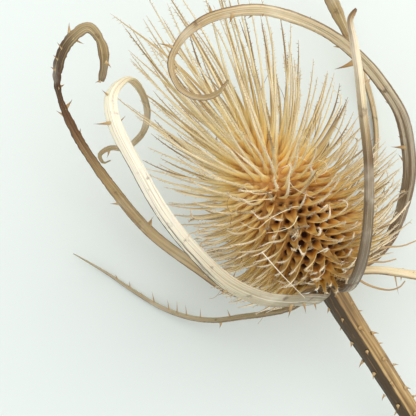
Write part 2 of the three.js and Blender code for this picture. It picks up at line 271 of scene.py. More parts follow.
def curve_points(route, count):
    """Points at equal steps along a smooth centripetal curve through the route's points."""
    route = np.asarray(route, float)
    ends = np.vstack([2 * route[0] - route[1], route, 2 * route[-1] - route[-2]])
    gaps = np.maximum(np.linalg.norm(np.diff(ends, axis=0), axis=1) ** 0.5, 1e-4)[:, None]
    slopes = np.diff(ends, axis=0) / gaps
    span = np.linspace(0, 1, CURVE_STEPS, endpoint=False)[:, None]
    dense = []
    for i in range(len(route) - 1):
        before, here, after = gaps[i], gaps[i + 1], gaps[i + 2]
        wide_before = (ends[i + 2] - ends[i]) / (before + here)
        wide_after = (ends[i + 3] - ends[i + 1]) / (here + after)
        start = (slopes[i] - wide_before + slopes[i + 1]) * here
        end = (slopes[i + 1] - wide_after + slopes[i + 2]) * here
        rise = route[i + 1] - route[i]
        dense.append(route[i] + start * span + (3 * rise - 2 * start - end) * span ** 2
                     + (start + end - 2 * rise) * span ** 3)
    dense = np.vstack(dense + [route[-1:]])
    run = distance_along(dense)
    wanted = np.linspace(0, run[-1], count)
    return np.stack([np.interp(wanted, run, dense[:, axis]) for axis in range(3)], axis=1), run[-1]


def unit(vectors):
    vectors = np.asarray(vectors, float)
    return vectors / np.maximum(np.linalg.norm(vectors, axis=-1, keepdims=True), 1e-9)


def tangents_of(points):
    return unit(np.gradient(points, axis=0))


def carried_sides(points, start_normal, twist):
    """The direction across a strand at each point: carried along without spin, then twisted."""
    normal = np.array(start_normal, float)
    sides = []
    for along, share in zip(tangents_of(points), np.linspace(0, 1, len(points))):
        normal = unit(normal - along * np.dot(normal, along))
        across = np.cross(along, normal)
        angle = twist * share
        turned = normal * math.cos(angle) + across * math.sin(angle)
        sides.append(np.cross(along, turned))
    return np.array(sides)


def smoothstep(value, low, high):
    x = np.clip((value - low) / (high - low), 0, 1)
    return x * x * (3 - 2 * x)


print("a short bend measures", round(curve_points([[0, 0, 0], [1, 0, 1], [1, 0, 2]], 9)[1], 2))

# %% The tree that sweeps strands
TRENCH_WIDTH = 0.35
ROUGHNESS_DETAIL = 3.0
SWEEP_INPUTS = {
    "Sides": ("Int", 8), "Cup": ("Float", 0.0), "Groove": ("Float", 0.0), "Ribs": ("Float", 0.0),
    "Rib height": ("Float", 0.0), "Roughness": ("Float", 0.0), "Roughness scale": ("Float", 500.0),
    "Material": ("Material", None),
}


def group_with_inputs(name, inputs):
    """A new geometry tree with named inputs, and its helper, its inputs and its output node."""
    group = bpy.data.node_groups.new(name, "GeometryNodeTree")
    group.interface.new_socket("Geometry", in_out="INPUT", socket_type="NodeSocketGeometry")
    for label, (kind, value) in inputs.items():
        item = group.interface.new_socket(label, in_out="INPUT", socket_type="NodeSocket" + kind)
        if value is not None:
            item.default_value = value
    group.interface.new_socket("Geometry", in_out="OUTPUT", socket_type="NodeSocketGeometry")
    tree = Tree(group)
    return group, tree, tree.add("NodeGroupInput"), group.nodes.new("NodeGroupOutput")


def close_group(tree, given, out, geometry):
    """Ends a geometry tree with plain geometry in the given material."""
    whole = tree.add("GeometryNodeRealizeInstances", None, [geometry])
    sockets = {"Geometry": whole, "Material": given.named("Material")}
    whole = tree.add("GeometryNodeSetMaterial", None, sockets)
    tree.tree.links.new(whole.socket, out.inputs[0])


def stored(tree, geometry, name, kind, value):
    settings = {"data_type": kind, "domain": "POINT"}
    sockets = {"Geometry": geometry, "Name": name, "Value": value}
    return tree.add("GeometryNodeStoreNamedAttribute", settings, sockets)


def attribute(tree, name, kind="FLOAT"):
    return tree.add("GeometryNodeInputNamedAttribute", {"data_type": kind}, {"Name": name})


def direction(tree, name):
    return attribute(tree, name, "FLOAT_VECTOR")


def strand_curves(tree, geometry):
    """The lines as curves whose points know their centre, their side and their upper face."""
    curves = tree.add("GeometryNodeMeshToCurve", None, {"Mesh": geometry})
    place = tree.add("GeometryNodeInputPosition")
    curves = stored(tree, curves, "centre", "FLOAT_VECTOR", place)
    tangent = tree.add("GeometryNodeInputTangent")
    face = tree.vector("NORMALIZE", tree.vector("CROSS_PRODUCT", direction(tree, "side"), tangent))
    return stored(tree, curves, "face", "FLOAT_VECTOR", face)


def swept(tree, curves, given):
    """A ring swept along the curves, then flattened, cupped, grooved and ribbed by formula."""
    sides, cup, groove, ribs, rib_height, rough, rough_scale = [
        given.named(name) for name in list(SWEEP_INPUTS)[:-1]]
    ring = tree.add("GeometryNodeCurvePrimitiveCircle", None, {"Resolution": sides, "Radius": 1.0})
    ring = stored(tree, ring, "ring", "FLOAT_VECTOR", tree.add("GeometryNodeInputPosition"))
    sockets = {"Curve": curves, "Profile Curve": ring, "Fill Caps": True}
    body = tree.add("GeometryNodeCurveToMesh", None, sockets)
    across = tree.split(direction(tree, "ring"))
    upward = across.named("Y")
    wide = attribute(tree, "wide")
    thick = attribute(tree, "thick")
    trench = tree.math("EXPONENT", (across / TRENCH_WIDTH) ** 2.0 * -1.0)
    wave = tree.math("COSINE", tree.math("ARCTAN2", upward, across) * ribs)
    noise = tree.noise(tree.add("GeometryNodeInputPosition"), rough_scale, ROUGHNESS_DETAIL)
    swell = wave * rib_height + (noise - 0.5) * rough
    sideways = across * wide + across * swell
    outwards = upward * thick + wide * cup * across * across - thick * groove * trench
    outwards = outwards + upward * swell
    place = tree.scaled(direction(tree, "side"), sideways)
    place = tree.vector("ADD", direction(tree, "centre"), place)
    place = tree.vector("ADD", place, tree.scaled(direction(tree, "face"), outwards))
    body = tree.add("GeometryNodeSetPosition", None, {"Geometry": body, "Position": place})
    return tree.add("GeometryNodeFlipFaces", None, [body])


def sweep_group():
    group, tree, given, out = group_with_inputs("sweep strands", SWEEP_INPUTS)
    close_group(tree, given, out, swept(tree, strand_curves(tree, given), given))
    return group


sweeping = sweep_group()
print("sweep tree has", len(sweeping.nodes), "nodes")


# %% Turn a tree's result into a plain mesh
def grown(name, group, mesh, inputs):
    """The plain mesh object that a geometry tree makes of a mesh."""
    holder = shown(name, mesh)
    modifier = holder.modifiers.new("grow", "NODES")
    modifier.node_group = group
    for item in group.interface.items_tree:
        if item.in_out == "INPUT" and item.name in inputs:
            modifier[item.identifier] = inputs[item.name]
    bpy.context.view_layer.update()
    evaluated = holder.evaluated_get(bpy.context.evaluated_depsgraph_get())
    plain = bpy.data.meshes.new_from_object(evaluated)
    holder.modifiers.remove(modifier)
    holder.data = plain
    plain.name = name
    plain.shade_smooth()
    return holder


# %% [markdown]
# Dry plant tissue is dull, fibrous and a little translucent. Each material starts from colours taken
# as plain hex values and varies them along the strand, round it and from strand to strand. The
# attributes that the sweep leaves on the mesh say where a point is, so the streaks follow the grain.

# %% Colour helpers
def colour(code):
    """A hex colour as linear red, green, blue and one."""
    channels = [int(code[i:i + 2], 16) / 255 for i in (0, 2, 4)]
    return [c / 12.92 if c < 0.04045 else ((c + 0.055) / 1.055) ** 2.4 for c in channels] + [1.0]


def new_material(name):
    material = bpy.data.materials.new(name)
    material.use_nodes = True
    material.node_tree.nodes.clear()
    return material, Tree(material.node_tree)


def finish_material(tree, sockets):
    shader = tree.add("ShaderNodeBsdfPrincipled", None, sockets)
    tree.add("ShaderNodeOutputMaterial", None, {"Surface": shader})


def mixed(tree, factor, first, second, blend="MIX"):
    settings = {"data_type": "RGBA", "blend_type": blend}
    return tree.add("ShaderNodeMix", settings, {0: factor, 6: first, 7: second}, output=2)


def tinted(tree, base, code, value, low, high, strength=1.0):
    """The base taking on another colour, up to a strength, as a value goes from low to high."""
    return mixed(tree, tree.smooth(value, low, high, 0.0, strength), base, colour(code))


def ramp(tree, value, stops):
    stops = [(position, colour(code)) for position, code in stops.items()]
    return tree.add("ShaderNodeValToRGB", {"stops": stops}, [value])


def bump(tree, height, strength, distance):
    sockets = {"Strength": strength, "Distance": distance, "Height": height}
    return tree.add("ShaderNodeBump", None, sockets)


def on_surface(tree, name, output="Fac"):
    return tree.add("ShaderNodeAttribute", {"attribute_name": name}).named(output)


def mottling(tree, scale, detail):
    """Noise fixed to the object, from 0 to 1."""
    return tree.noise(tree.add("ShaderNodeTexCoord").named("Object"), scale, detail)


def place_on_ring(tree):
    return tree.split(on_surface(tree, "ring", "Vector"))


def grain(tree, round_scale, long_scale, detail):
    """Noise stretched along a strand, from 0 to 1."""
    ring = place_on_ring(tree)
    along = on_surface(tree, "run") * long_scale
    place = tree.combined(ring * round_scale, ring.named("Y") * round_scale, along)
    return tree.noise(place, 1.0, detail)


print("pale straw is", [round(c, 3) for c in colour("e1d1ad")])

# %% Material of the scales
LOW_SCALE_COLOURS = {0: "a8621f", 0.12: "e6ae56", 0.25: "fad68c", 0.45: "f5d99c", 0.7: "feeecb",
                     1: "fbeac6"}
# painted glow: the upper scales' brighter palette stands in for light shining through them
UPPER_SCALE_COLOURS_WITH_PAINTED_GLOW = {0: "f0b868", 0.12: "ffdc92", 0.28: "ffecb4", 0.5: "ffefc4", 0.75: "f3e2ba",
                      1: "d0b184"}


def scale_material():
    """Orange at the foot, straw above it; browner at the edges and where weathered; painted shade
    underneath and painted glow on the upper scales.
    """
    material, tree = new_material("dry scale")
    share, tone, high = [on_surface(tree, name) for name in ("share", "tone", "high")]
    # upper scales take the palette with painted glow
    base = mixed(tree, high, ramp(tree, share, LOW_SCALE_COLOURS), ramp(tree, share, UPPER_SCALE_COLOURS_WITH_PAINTED_GLOW))
    streaks = grain(tree, 2.5, 260.0, 4.0)
    base = tinted(tree, base, "b8935c", streaks, 0.35, 0.75, 0.35)
    ring = place_on_ring(tree)
    edge = tree.smooth(ring * ring, 0.35, 0.9) * tree.smooth(share, 0.2, 0.4, 0.0, 0.55)
    base = mixed(tree, edge * (high * 0.6 + 0.4), base, colour("b08a52"))
    # painted shade: the lower face of each scale darkened
    painted_underside_shade = tree.smooth(ring.named("Y"), 0.3, -0.4) * tree.smooth(share, 0.15, 0.35, 0.0, 0.75)
    base = mixed(tree, painted_underside_shade, base, colour("9a723e"))
    weathered = tree.smooth(tone, 0.2, 0.12) * tree.smooth(share, 0.4, 0.8, 0.0, 0.8)
    base = mixed(tree, weathered, base, colour("7b5429"))
    # each scale's random tone, plus painted glow on the upper scales
    shade = tone * 0.42 + high * 0.06 + 0.81
    shade = tree.add("ShaderNodeCombineColor", None, [shade, shade, shade])
    base = mixed(tree, 1.0, base, shade, "MULTIPLY")
    finish_material(tree, {"Base Color": base, "Roughness": 0.6, "Normal": bump(tree, streaks, 0.5, 0.0001),
                           "Subsurface Weight": 0.4, "Subsurface Scale": 0.0018,
                           "Subsurface Radius": (1.0, 0.78, 0.46), "Specular IOR Level": 0.25})
    return material


# %% [markdown]
# The core of the head is a receptacle: an egg with its widest ring a third of the way up. The
# scales stand on it in the spirals that the golden angle gives. Above the foot of each scale sat a
# seed, and the empty seats are the cells that show between the scales: their own dark brown, made
# darker still by painted shade in their depth.

# %% The core's shape and the seats of the scales
CORE_START = 0.35
CORE_LENGTH = 31
CORE_RADIUS = 9.4
CORE_SLENDERNESS = 0.62
CORE_FULLNESS = 0.75
GOLDEN_ANGLE = math.pi * (3 - math.sqrt(5))
SCALE_COUNT = 515
SCALE_SHARES = (0.03, 0.9999)
APEX_CROWDING = 0.9
APEX_SHARES = (0.55, 0.85)


def core_radius(share):
    return CORE_RADIUS * np.sin(np.pi * np.clip(share, 0, 1) ** CORE_SLENDERNESS) ** CORE_FULLNESS


def scale_shares(count):
    """Shares of the core's length at which the scales sit, closer together towards the apex."""
    shares = np.linspace(*SCALE_SHARES, 2000)
    radius = core_radius(shares)
    slant = np.hypot(np.gradient(shares) * CORE_LENGTH, np.gradient(radius))
    skin = np.cumsum(radius * slant * (1 + APEX_CROWDING * smoothstep(shares, *APEX_SHARES)))
    wanted = skin[-1] * (np.arange(count) + 0.5) / count
    return np.interp(wanted, skin, shares)


seat_share = scale_shares(SCALE_COUNT)
seat_angle = np.arange(SCALE_COUNT) * GOLDEN_ANGLE
seat_upper = smoothstep(seat_share, *APEX_SHARES)
seat_outward = np.stack([np.cos(seat_angle), np.sin(seat_angle), np.zeros(SCALE_COUNT)], axis=1)
seat_sideways = np.stack([-np.sin(seat_angle), np.cos(seat_angle), np.zeros(SCALE_COUNT)], axis=1)
seats = seat_outward * core_radius(seat_share)[:, None]
seats[:, 2] = CORE_START + seat_share * CORE_LENGTH
print(SCALE_COUNT, "scales; the widest seat is", round(float(np.hypot(*seats.T[:2]).max()), 2), "mm out")

# %% The core with its empty cells
CORE_RINGS = 150
CORE_AROUND = 170
BASE_CROWDING = 1.3
NARROWEST_RING = 0.02
CELL_RADIUS = 1.05
CELL_DEPTH = 1.3
CELL_ABOVE_SCALE = 0.9
CELL_TILT = 0.2
UPPER_CELLS_SMALLER = 0.6
UPPER_CELLS_SHALLOWER = 0.7
UPPER_CORE = (CORE_START + 0.6 * CORE_LENGTH, CORE_START + 0.85 * CORE_LENGTH)
CORE_MIDDLE = np.array([0, 0, CORE_START + CORE_LENGTH * 0.4])
POINT_BATCHES = 40


def core_material():
    material, tree = new_material("receptacle")
    mottle = mottling(tree, 900.0, 4.0)
    low = mixed(tree, mottle, colour("b07a38"), colour("e2b26a"))
    # painted glow: the upper core brighter, as if lit through the scales
    upper = mixed(tree, mottle, colour("e8b062"), colour("ffe2a4"))
    core_with_painted_glow = mixed(tree, on_surface(tree, "high"), low, upper)
    # the cells' own brown, deepened with painted shade where they are deep
    base = tinted(tree, core_with_painted_glow, "421c08", on_surface(tree, "pit"), 0.1, 0.7)
    finish_material(tree, {"Base Color": base, "Roughness": 0.8, "Normal": bump(tree, mottle, 0.6, 0.0002)})
    return material


def core_faces(rings):
    """Quads between the rings, and triangles to one point at the bottom and one at the top."""
    faces = []
    bottom, top = rings * CORE_AROUND, rings * CORE_AROUND + 1
    for low in range(0, (rings - 1) * CORE_AROUND, CORE_AROUND):
        high = low + CORE_AROUND
        for j in range(CORE_AROUND):
            k = (j + 1) % CORE_AROUND
            faces.append((low + j, low + k, high + k, high + j))
    last = (rings - 1) * CORE_AROUND
    for j in range(CORE_AROUND):
        k = (j + 1) % CORE_AROUND
        faces.append((bottom, k, j))
        faces.append((top, last + j, last + k))
    return faces


def cell_depths(points):
    """How deep each point of the core lies in an empty cell, from 0 to about 1."""
    tilted = seat_outward * CELL_TILT
    tilted[:, 2] = 1
    cells = seats + unit(tilted) * CELL_ABOVE_SCALE
    radius = CELL_RADIUS * (1 - UPPER_CELLS_SMALLER * seat_upper)
    return np.concatenate([
        (1 - np.linalg.norm(part[:, None] - cells[None], axis=2) / radius).max(axis=1)
        for part in np.array_split(points, POINT_BATCHES)])


def core_mesh():
    share = np.linspace(0, 1, CORE_RINGS)[1:-1] ** BASE_CROWDING
    angle = np.arange(CORE_AROUND) * 2 * np.pi / CORE_AROUND
    radius = np.maximum(core_radius(share), NARROWEST_RING)
    height = CORE_START + share * CORE_LENGTH
    ring = np.stack([np.cos(angle), np.sin(angle)], axis=1)
    heights = np.broadcast_to(height[:, None, None], (len(radius), CORE_AROUND, 1))
    points = np.concatenate([radius[:, None, None] * ring[None], heights], axis=2).reshape(-1, 3)
    upper = smoothstep(points[:, 2], *UPPER_CORE)
    pit = smoothstep(cell_depths(points), 0, 0.8) * (1 - UPPER_CELLS_SHALLOWER * upper)
    points = points + unit(CORE_MIDDLE - points) * (pit * CELL_DEPTH)[:, None]
    ends = [[0, 0, CORE_START], [0, 0, CORE_START + CORE_LENGTH]]
    mesh = bpy.data.meshes.new("receptacle")
    mesh.from_pydata(laid(np.vstack([points, ends])).tolist(), [], core_faces(len(radius)))
    write_attribute(mesh, "pit", np.append(pit, [0, 1]))
    # mask of the painted glow on the upper core
    write_attribute(mesh, "high", np.append(upper, [0, 1]))
    mesh.shade_smooth()
    return mesh


receptacle = shown("receptacle", core_mesh())
receptacle.data.materials.append(core_material())
print("receptacle has", len(receptacle.data.polygons), "faces")

# %% [markdown]
# Seven bracts curl up round the head. Each is written as the points that it passes, read from the
# photograph where it shows them and carried on freely where it doesn't. Two of them carry the lying
# head, and their courses are lifted to the height at which they touch the table.

# %% The courses of the bracts
BRACT_ROOT_RADIUS = 2.9
BRACT_ROOT_LEVEL = -0.65
BRACT_POINTS = 190
SMOOTHING = 2
THINNER_AT_TIP = 0.25
THICKEST_FOR_WIDTH = 0.95

BRACTS = {
    # azimuth and twist in degrees, half widths by share of the length, half thickness, route
    "bract_front_left": {
        "azimuth": 238, "thick": 0.5, "twist": 50,
        "widths": {0: 1.6, 0.05: 2.5, 0.12: 2.4, 0.2: 1.95, 0.35: 1.5, 0.5: 1.3, 0.68: 1.3,
                   0.76: 0.7, 0.88: 0.55, 1: 0.4},
        "route": [
            [-3, -5.2, -0.6], [-5.5, -9.5, 2], [-8.5, -13, 4.5], [-12, -15.5, 8], [-15.5, -17, 13.5],
            [-17.5, -16.5, 20], [-19, -15.5, 29], [-19, -14.5, 38.5], [-18.5, -13, 46.5],
            [-17, -10.5, 50], [-14.5, -7, 51], [-12.5, -3, 50], [-12, 1, 46.5], [-13, 4.5, 42.5],
            [-15.5, 7, 39.5], [-19.5, 8, 38.5], [-22, 7.5, 40], [-24.2, 6.5, 40], [-24.3, 5.5, 38.6],
            [-23, 5, 38.4]],
    },
    "bract_back_left": {
        "azimuth": 134, "thick": 0.42, "twist": -150,
        "widths": {0: 1.0, 0.14: 1.1, 0.45: 1.0, 0.6: 0.9, 0.66: 0.85, 0.7: 0.62, 0.74: 0.62,
                   0.78: 0.9, 0.8: 1.0, 0.86: 1.1, 0.91: 0.75, 0.96: 0.85, 1: 0.72},
        "route": [
            [-5, 5, -0.4], [-10, 8.5, 1.2], [-15.5, 11, 4], [-19.7, 14, 11.5], [-23.8, 15, 21.5],
            [-25.6, 12, 33.5], [-26, 7, 45.5], [-24.3, 1, 55], [-21, -4, 59.7], [-17.6, -7, 61.8],
            [-14.3, -8, 62], [-13.7, -9, 59], [-14.9, -9, 55.7], [-17, -8, 53]],
    },
    "bract_low_left": {
        "azimuth": 180, "thick": 0.5, "twist": 20, "rest_height": 0.35,
        "widths": {0: 0.9, 0.2: 0.95, 0.5: 0.8, 0.75: 0.55, 0.9: 0.34, 1: 0.14},
        "route": [
            [-7.9, 2.8, -1.7], [-12.9, 6.5, -1.2], [-17.1, 10, -0.4], [-21.5, 13.5, 0.5],
            [-25.5, 16.5, 2.6], [-29.5, 19.5, 6.5], [-32.8, 21.7, 12], [-35, 22.5, 16.5],
            [-37.3, 22, 21], [-38.8, 21.6, 23.8]],
    },
    "bract_front_right": {
        "azimuth": 296, "thick": 0.8, "twist": 25,
        "widths": {0: 1.2, 0.1: 1.75, 0.2: 1.75, 0.3: 1.5, 0.45: 1.15, 0.6: 0.95, 0.66: 0.9,
                   0.75: 1.05, 0.85: 0.95, 0.93: 0.65, 1: 0.5},
        "route": [
            [2.6, -5.6, -1], [5.4, -10.3, 1.9], [8.8, -14, 7], [12.4, -16, 13.5], [15.5, -17, 20],
            [18.4, -16.5, 27], [21.2, -15, 33], [23.4, -13, 38.3], [24.7, -12, 41.4],
            [26.6, -11, 42.3]],
    },
    "bract_arching": {
        "azimuth": 42, "thick": 0.6, "twist": 150,
        "widths": {0: 1.0, 0.14: 1.4, 0.3: 1.5, 0.45: 1.3, 0.6: 1.05, 0.72: 1.0, 0.8: 0.9,
                   0.85: 0.65, 0.9: 0.5, 0.95: 0.46, 1: 0.3},
        "route": [
            [5, 5.2, -1.9], [8, 8.6, -3.3], [11.6, 11.6, -3.6], [15.7, 13, -2.1], [19.7, 12, 1.6],
            [23.6, 10, 7], [25.7, 7.5, 12.7], [26.8, 4, 19], [26, -0.5, 25.7], [24.3, -4.5, 32.8],
            [21, -9, 40.4], [17, -12, 46], [12.7, -14, 50.3], [8.2, -15.5, 52.8], [3, -17, 54.2],
            [-1.8, -18, 53.6], [-5.5, -18.5, 51], [-6.2, -19, 46.8], [-4.1, -19, 43.7],
            [-1.3, -18.5, 42.8], [1.5, -17, 43.6]],
    },
    "bract_side_right": {
        "azimuth": 350, "thick": 0.65, "twist": 150,
        "widths": {0: 0.95, 0.1: 1.0, 0.3: 0.95, 0.6: 0.75, 0.85: 0.5, 1: 0.25},
        "route": [
            [5.2, -0.9, -0.8], [8.2, 0, -2.4], [11.8, 2, -5.5], [15, 4, -8.6], [19, 6, -11.8],
            [25, 7, -13.7], [31, 6.5, -13.2], [35.6, 5, -10.7], [37.7, 3, -7], [37, 1, -3.4]],
    },
    "bract_back_right": {
        "azimuth": 88, "thick": 0.5, "twist": -150, "rest_height": 0.62,
        "widths": {0: 0.95, 0.14: 0.95, 0.4: 0.85, 0.62: 0.75, 0.7: 0.85, 0.76: 1.3, 0.84: 1.2,
                   1: 0.3},
        "route": [
            [1.6, 6, -1.2], [4.5, 11, -1], [9.3, 15.9, 0.6], [14.8, 19.4, 4.2], [19.6, 22, 8.7],
            [23.6, 24.5, 14], [26.1, 25.4, 20.5], [27.3, 24.6, 29.6], [27.6, 20, 40.4],
            [27.0, 15, 47.6], [25.7, 11, 52.4], [23, 9, 53]],
    },
}


def lifted(route, rest_height):
    """The route with each point that would sink below its rest height raised to it."""
    route = np.asarray(route, float)
    return route + np.maximum(rest_height - height_above_table(route), 0)[:, None] * UP


def smoothed(values):
    window = 2 * SMOOTHING + 1
    return np.convolve(np.pad(values, SMOOTHING, "edge"), np.ones(window) / window, "valid")


def by_share(share, table):
    return np.interp(share, *zip(*table.items()))


def bract_course(bract):
    """The middle line of a bract, with its sides, half widths and half thicknesses."""
    turn = math.radians(bract["azimuth"])
    root = [BRACT_ROOT_RADIUS * math.cos(turn), BRACT_ROOT_RADIUS * math.sin(turn), BRACT_ROOT_LEVEL]
    route = lifted([root] + bract["route"], bract.get("rest_height", -math.inf))
    points, length = curve_points(route, BRACT_POINTS)
    share = np.linspace(0, 1, BRACT_POINTS)
    rounded = np.sqrt(np.clip((1.012 - share) / 0.03, 0.3, 1))
    width = smoothed(by_share(share, bract["widths"]) * rounded)
    flatness = np.minimum(1 - THINNER_AT_TIP * share, width * THICKEST_FOR_WIDTH)
    return {"points": points, "length": length, "share": share, "wide": width,
            "thick": bract["thick"] * flatness * rounded,
            "side": carried_sides(points, [0, 0, 1], math.radians(bract["twist"]))}


courses = {name: bract_course(bract) for name, bract in BRACTS.items()}
for name, course in courses.items():
    print(name, "is", round(course["length"], 1), "mm long")

# %% [markdown]
# A scale is boat-shaped at its foot, narrows to a stiff awn and curves towards the head's tip. The
# awns sway, and some hook over. Each scale is a strand whose direction turns a little at every step,
# which keeps its length true. A scale that would run into a bract is turned until it is clear.

# %% The courses of the scales
SCALE_POINTS = 17
SCALE_SINK = 0.9
SCALE_LAW = np.array([
    # height up the core in mm, degrees from the head axis, length in mm
    [0, 92, 9.5], [4, 85, 10.8], [15, 80, 11.4], [18, 75, 12.2], [21, 60, 15], [23, 46, 17.8],
    [25, 32, 22.2], [27, 22, 26.8], [29, 14, 29.6], [31, 5, 30.4],
])
SCALE_FULLER_SIDE = 0.12
SCALE_TALLER_SIDE = 0.02
SCALE_CLEARANCE = 0.4
HOOKED_SHARE = 0.2
STEEPEST_WANDER = 1.4
TRIED_LENGTHS = (1, 0.85, 0.7, 0.5, 0.35)
TRIED_TURNS = ((0, 0), (-6, 0), (-3, 5), (-3, -5), (-12, 0), (-8, 9), (-8, -9), (5, 0),
               (-18, 0), (-14, 12), (-14, -12), (-24, 0))

keep_out = np.concatenate([course["points"][::3] for course in courses.values()])
keep_out_radius = np.concatenate([course["wide"][::3] for course in courses.values()])


def air_round(points):
    """The least distance from a line of points to any bract's surface, in millimetres."""
    gaps = np.linalg.norm(points[:, None] - keep_out[None], axis=2) - keep_out_radius[None]
    return gaps.min()


def scale_steps(n):
    """Shares of a scale's length at its points, closer together at the foot of a long one."""
    return np.linspace(0, 1, SCALE_POINTS) ** (1 + 0.4 * seat_upper[n])


def scale_course(n, draw):
    """The middle line of one scale, in millimetres."""
    height, law_angle, law_length = SCALE_LAW.T
    upper = seat_upper[n]
    angle = math.radians(np.interp(seat_share[n] * CORE_LENGTH, height, law_angle)) + draw.normal(0, 0.08)
    fuller = SCALE_FULLER_SIDE + (-SCALE_TALLER_SIDE - SCALE_FULLER_SIDE) * upper
    length = np.interp(seat_share[n] * CORE_LENGTH, height, law_length)
    length = length * (1 + fuller * math.cos(seat_angle[n])) * draw.uniform(0.86, 1.08)
    bend = math.radians(draw.uniform(8, 28)) * (1 - 0.5 * upper)
    sway = draw.normal(0, 0.11) * (1 - 0.4 * upper)
    wave = draw.normal(0, 0.17) * (1 - 0.5 * upper)
    phase = draw.uniform(0, 6.28)
    hook = draw.uniform(0.9, 2.8) if draw.uniform() < HOOKED_SHARE * (1 - upper) else 0.0
    hook_side = draw.uniform(-2.2, 2.2)
    steps = scale_steps(n)
    middle = (steps[1:] + steps[:-1]) / 2
    leaning = angle + bend * (1 - 2 * middle)
    leaning = leaning - hook * math.cos(hook_side) * smoothstep(middle, 0.72, 1.0)
    wander = sway * middle * 2 + wave * np.sin(phase + middle * 7) * middle
    wander = wander + hook * math.sin(hook_side) * smoothstep(middle, 0.7, 1.0)
    aside = np.tan(np.clip(wander, -STEEPEST_WANDER, STEEPEST_WANDER))[:, None]

    def grow(turn, lean, kept):
        out = seat_outward[n] * math.cos(lean) + seat_sideways[n] * math.sin(lean)
        across = np.cross([0, 0, 1], out)
        heading = np.sin(leaning + turn)[:, None] * out + np.cos(leaning + turn)[:, None] * [0, 0, 1]
        heading = unit(heading + aside * across)
        step = (length * kept + SCALE_SINK) * np.diff(steps)[:, None]
        start = seats[n] - heading[0] * SCALE_SINK
        return np.vstack([start, start + np.cumsum(heading * step, axis=0)])

    best, best_air = None, -math.inf
    for kept in TRIED_LENGTHS:
        for turn, lean in TRIED_TURNS:
            points = grow(math.radians(turn), math.radians(lean), kept)
            air = air_round(points[1:])
            if air > best_air:
                best, best_air = points, air
            if best_air > SCALE_CLEARANCE:
                return best
    return best


draw = random_numbers(11)
scale_lines = [scale_course(n, draw) for n in range(SCALE_COUNT)]
print("the longest scale ends", round(max(line[-1, 2] for line in scale_lines), 1), "mm up the head")

# %% The bodies of the scales
FOOT_WIDTHS = {0: 0.92, 0.9: 1.08, 2.0: 0.96, 3.2: 0.56, 4.6: 0.34}
AWN_WIDTHS = {0: 0.36, 0.4: 0.34, 0.7: 0.25, 0.88: 0.15, 1: 0.03}
SCALE_THICKNESSES = {0: 0.26, 0.2: 0.22, 0.4: 0.15, 0.7: 0.11, 1: 0.03}
UPPER_SCALES_NARROWER = 0.2
# shares of the core over which the painted glow of the upper scales rises
PAINTED_GLOW_SHARES = (0.45, 0.8)
GRAIN_LENGTH = 0.015
GRAIN_STEP = 0.037
BRISTLES_UNTIL = 0.97
BRISTLE_CHANCE = 0.85
BRISTLE_SPREAD = 1.1
BRISTLE_LEAN = 0.45
BRISTLE_RADIUS = 0.0001
BRISTLE_INPUTS = {**SWEEP_INPUTS, "Bristle spacing": ("Float", 0.00036),
                  "Bristle length": ("Float", 0.00062), "Bristle from": ("Float", 0.3), "Seed": ("Int", 3)}


def scale_widths(share, run, upper):
    """Half widths: a boat-shaped foot of fixed length, then an awn that tapers to the tip."""
    foot = by_share(run, FOOT_WIDTHS)
    foot[run > max(FOOT_WIDTHS)] = 0
    return np.maximum(foot, by_share(share, AWN_WIDTHS)) * (1 - UPPER_SCALES_NARROWER * upper)


def scale_values():
    tones = random_numbers(5).uniform(0, 1, SCALE_COUNT)
    stoutness = random_numbers(6).uniform(0.72, 1.08, SCALE_COUNT)
    values = {name: [] for name in ("share", "run", "wide", "thick", "tone", "side", "high")}
    for n, line in enumerate(scale_lines):
        share = scale_steps(n)
        tangents = tangents_of(line)
        width = scale_widths(share, distance_along(line), seat_upper[n]) * stoutness[n]
        across = seat_sideways[n] - tangents * (tangents @ seat_sideways[n])[:, None]
        values["share"].append(share)
        values["run"].append(share * GRAIN_LENGTH + n * GRAIN_STEP)
        values["wide"].append(width * MM)
        values["thick"].append(by_share(share, SCALE_THICKNESSES) * MM)
        values["tone"].append(np.full(SCALE_POINTS, tones[n]))
        values["side"].append(unit(across))
        # mask of the painted glow: how far up the core the scale sits
        values["high"].append(np.full(SCALE_POINTS, smoothstep(seat_share[n], *PAINTED_GLOW_SHARES)))
    return values


def random_value(tree, low, high, index, seed):
    sockets = {2: low, 3: high, "ID": index, "Seed": seed}
    return tree.add("FunctionNodeRandomValue", {"data_type": "FLOAT"}, sockets, output=1)


def compared(tree, operation, first, second):
    settings = {"data_type": "FLOAT", "operation": operation}
    return tree.add("FunctionNodeCompare", settings, [first, second])


def both(tree, first, second):
    return tree.add("FunctionNodeBooleanMath", {"operation": "AND"}, [first, second])


def planted(tree, points, cone, turn, size, chosen=None):
    sockets = {"Points": points, "Selection": chosen, "Instance": cone, "Rotation": turn, "Scale": size}
    return tree.add("GeometryNodeInstanceOnPoints", None, sockets)


